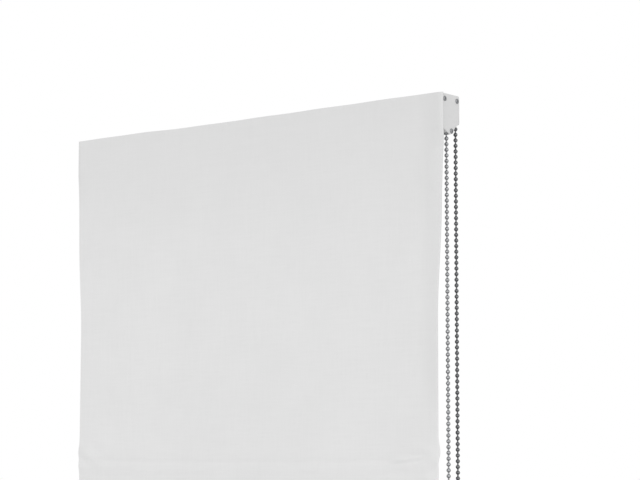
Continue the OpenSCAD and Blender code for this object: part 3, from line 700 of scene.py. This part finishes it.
def cord_turns(x):
    """The turns of lift cord that stay on a spool when the blind is down: a helix round its axis."""
    turns = 2
    count = turns * 48 + 1
    pitch = 1.05 * 2 * CORD_R
    radius = WHEEL_Y - CORD_Y
    angle = np.linspace(np.pi, np.pi + turns * 2 * np.pi, count)
    centres = np.stack([x + pitch / (2 * np.pi) * (angle - np.pi), WHEEL_Y + radius * np.cos(angle),
                        AXIS_Z + radius * np.sin(angle)], 1)
    tangents = np.stack([np.zeros(count), -np.sin(angle), np.cos(angle)], 1)
    return turned_rings(centres, tangents, (1.0, 0.0, 0.0), [0.0], [CORD_R], around=8, run_on=True)


def rounded(corners, reach, count):
    """A closed outline whose corners give way to curves that start a given distance from them.

    Each curve is the parabola through its two ends with the corner as its control point. Where one
    curve ends on the next one's start, the two points are one.
    """
    made = []
    for i, corner in enumerate(corners):
        corner = np.asarray(corner, float)
        before = np.asarray(corners[i - 1]) - corner
        after = np.asarray(corners[(i + 1) % len(corners)]) - corner
        t = np.linspace(0, 1, count)[:, None]
        a = corner + before / np.linalg.norm(before) * reach
        b = corner + after / np.linalg.norm(after) * reach
        made.append((1 - t) ** 2 * a + 2 * t * (1 - t) * corner + t ** 2 * b)
    outline = np.concatenate(made)
    gap = np.linalg.norm(np.roll(outline, -1, 0) - outline, axis=1)
    return outline[gap > 0.01]


def control_cover():
    """The end cover: a plate with a soft edge, set in the CAD node's box.

    Its outline is carried along X, drawn in over a quarter turn of the edge, and its face is filled
    by smaller copies of the last outline.
    """
    low, high = node_box("control_cover")
    front, back = low[1], high[1]
    top, bottom = high[2], low[2]
    corners = [
        (front, top), (front, top - COVER_FRONT_H), (COVER_NOSE[0], bottom), (COVER_NOSE[1], bottom),
        (COVER_HEEL[0], top - COVER_HEEL[1]), (back, top - COVER_BACK_H), (back, top),
    ]
    outline = rounded(corners, COVER_EASE, count=8)
    step = np.roll(outline, -1, 0) - np.roll(outline, 1, 0)
    step /= np.linalg.norm(step, axis=1, keepdims=True)
    inward = np.stack([-step[:, 1], step[:, 0]], 1)
    face = high[0]
    edge_in = 1.4
    edge_back = 0.7
    turn = np.radians(np.linspace(0, 90, 6))
    insets = np.concatenate([[0.0], edge_in * (1 - np.cos(turn))])
    xs = np.concatenate([[face - COVER_T], face - edge_back + edge_back * np.sin(turn)])
    flat = outline[None] + insets[:, None, None] * inward[None]
    middle = flat[-1].mean(0)
    shrunk = np.array([0.7, 0.4, 0.1])
    flat = np.concatenate([flat, middle + shrunk[:, None, None] * (flat[-1] - middle)])
    xs = np.concatenate([xs, np.full(len(shrunk), face)])
    rings = np.concatenate([np.broadcast_to(xs[:, None, None], (*flat.shape[:2], 1)), flat], 2)
    rows, cols = rings.shape[:2]
    faces = grid_faces(rows, cols, closed=True).tolist()
    faces.append(list(range(cols))[::-1])
    faces.append(list(range((rows - 1) * cols, rows * cols)))
    return rings.reshape(-1, 3), faces


# Cloth and what is sewn to it
ROOT = "headrail_set"
FOLD_SHARP = 50
fine_rows = [b[2] - 3 for b in BATTENS] + [HEAD_LINE - 15]
panel_rows = spaced(HEM_LINE, HEAD_LINE, step=9.5, fine_at=fine_rows, fine_reach=26, fine_count=35)
panel = piece("cloth_panel", cloth_between(panel_rows), CLOTH, ROOT,
              replaces=["fabric"], sharp=FOLD_SHARP)
gathers(panel)
head_rows = np.linspace(HEAD_LINE, TOP, 15)
head = piece("cloth_head", cloth_between(head_rows), CLOTH, ROOT, sharp=FOLD_SHARP)
hem_behind = piece("cloth_top_hem", top_hem(), CLOTH, ROOT)
seam_x = HALF_W - SIDE_HEM + 2
seam_y = FRONT + 2 * CLOTH_T + LAYER_GAP
side_rows = []
for seam in (-seam_x, seam_x):
    seam_top = (seam, seam_y, TOP - TOP_HEM - 4)
    seam_foot = (seam, seam_y, HEM_LINE + 3)
    side_rows.append(stitch_row(seam_top, seam_foot, SIDE_STITCH_R))
side_seams = piece("side_hem_stitches", hung_stitches(side_rows), THREAD, ROOT)
gathers(side_seams)
foot = piece("cloth_bottom_hem", bottom_hem(), CLOTH, "bottom_set")
seam_left = (-HALF_W + 3, FRONT, HEM_LINE - 3)
seam_right = (HALF_W - 3, FRONT, HEM_LINE - 3)
foot_row = stitch_row(seam_left, seam_right, FOOT_STITCH_R)
foot_seam = piece("bottom_hem_stitches", foot_row, THREAD, "bottom_set")
pockets = [
    piece(f"batten_pocket_{i}", batten_pocket(b[2]), CLOTH, f"batten_set_{i}")
    for i, b in zip(BATTEN_NUMBERS, BATTENS)
]

# Lift cords and their turns on the spools
for side, x in zip(("left", "right"), CORD_X):
    cord = piece(f"lift_cord_{side}_braid", lift_cord(x), CORD, ROOT,
                 replaces=[f"lift_cord_{side}"])
    gathers(cord)
    piece(f"spool_{side}_cord_turns", cord_turns(x), CORD, "drive_set")

# Ball chain and the end cover of its control
front_run = chain_run(FRONT_RUN_Y, np.linspace(FIRST_BEAD, LAST_BEAD - 0.5, FRONT_BEADS))
rear_run = joined([
    chain_run(REAR_RUN_Y, np.arange(FIRST_BEAD, CONNECTOR_BEAD + 1)),
    chain_run(REAR_RUN_Y, np.arange(CONNECTOR_BEAD + CONNECTOR_ROOM + 1, LAST_BEAD + 1)),
])
piece("ball_chain_front", front_run, NICKEL, ROOT, replaces=["chain_front_run"])
piece("ball_chain_rear", rear_run, NICKEL, ROOT, replaces=["chain_rear_run"])
piece("ball_chain_bend", chain_turn(BEND_Z, POCKETS // 2 + 1, POCKETS - 1), NICKEL, ROOT,
      replaces=["chain_bottom_bend"])
piece("ball_chain_on_wheel", chain_turn(AXIS_Z, 0, POCKETS // 2), NICKEL, "drive_set",
      replaces=["chain_wheel_wrap"])
piece("control_end_cover", control_cover(), GREY_ABS, ROOT,
      replaces=["control_cover"], sharp=40)


def place_camera():
    """The photograph's view: from the right and a little below, looking up at the corner."""
    turn, tilt = math.radians(CAMERA_TURN), math.radians(CAMERA_TILT)
    level = math.cos(tilt)
    ahead = Vector((-math.sin(turn) * level, math.cos(turn) * level, math.sin(tilt)))
    data = bpy.data.cameras.new("camera")
    data.sensor_width = CAMERA_SENSOR
    data.lens = CAMERA_LENS
    camera = bpy.data.objects.new("camera", data)
    camera.location = CAMERA_AT
    camera.rotation_euler = ahead.to_track_quat("-Z", "Y").to_euler()
    bpy.context.scene.collection.objects.link(camera)
    bpy.context.scene.camera = camera


def soft_light(name, comes_from, spread, strength):
    """Even light from far away, out of one direction, with soft shadows."""
    data = bpy.data.lights.new(name, "SUN")
    data.angle = math.radians(spread)
    data.energy = strength
    light = bpy.data.objects.new(name, data)
    light.rotation_euler = Vector(comes_from).to_track_quat("Z", "Y").to_euler()
    bpy.context.scene.collection.objects.link(light)


def white_room(level):
    """A white surround: full white to the eye and in reflections, softer as light on the cloth."""
    world = bpy.data.worlds.new("white_room")
    world.use_nodes = True
    bpy.context.scene.world = world
    tree = world.node_tree
    camera = node(tree, "LightPath", out="Is Camera Ray")
    glossy = node(tree, "LightPath", out="Is Glossy Ray")
    through = node(tree, "LightPath", out="Is Transmission Ray")
    seen = node(tree, "Math", {0: camera, 1: glossy}, operation="MAXIMUM")
    seen = node(tree, "Math", {0: seen, 1: through}, operation="MAXIMUM")
    strength = node(tree, "MapRange", {"Value": seen, "To Min": level, "To Max": 1.0})
    tree.links.new(strength, tree.nodes["Background"].inputs["Strength"])
    tree.nodes["Background"].inputs["Color"].default_value = (1.0, 1.0, 1.0, 1.0)


def pale_floor():
    """A pale floor a hand's width below the hem."""
    half = 15.0
    hand = 0.12
    height = BOTTOM * MM - hand
    paint = plain_finish("pale_floor_paint", "#e7e7e7", "#e5e5e5", 4.0, 0.02, Roughness=0.8)
    mesh = bpy.data.meshes.new("floor")
    corners = [(x, y, height) for x, y in ((-half, -half), (half, -half), (half, half), (-half, half))]
    mesh.from_pydata(corners, [], [(0, 1, 2, 3)])
    mesh.materials.append(paint)
    floor = bpy.data.objects.new("floor", mesh)
    bpy.context.scene.collection.objects.link(floor)


place_camera()
white_room(level=0.7)
soft_light("key", comes_from=(0.15, -1.0, 0.12), spread=35, strength=0.97)
soft_light("side", comes_from=(1.0, -0.1, 0.15), spread=25, strength=0.6)
pale_floor()

bpy.context.scene.view_settings.view_transform = "Standard"
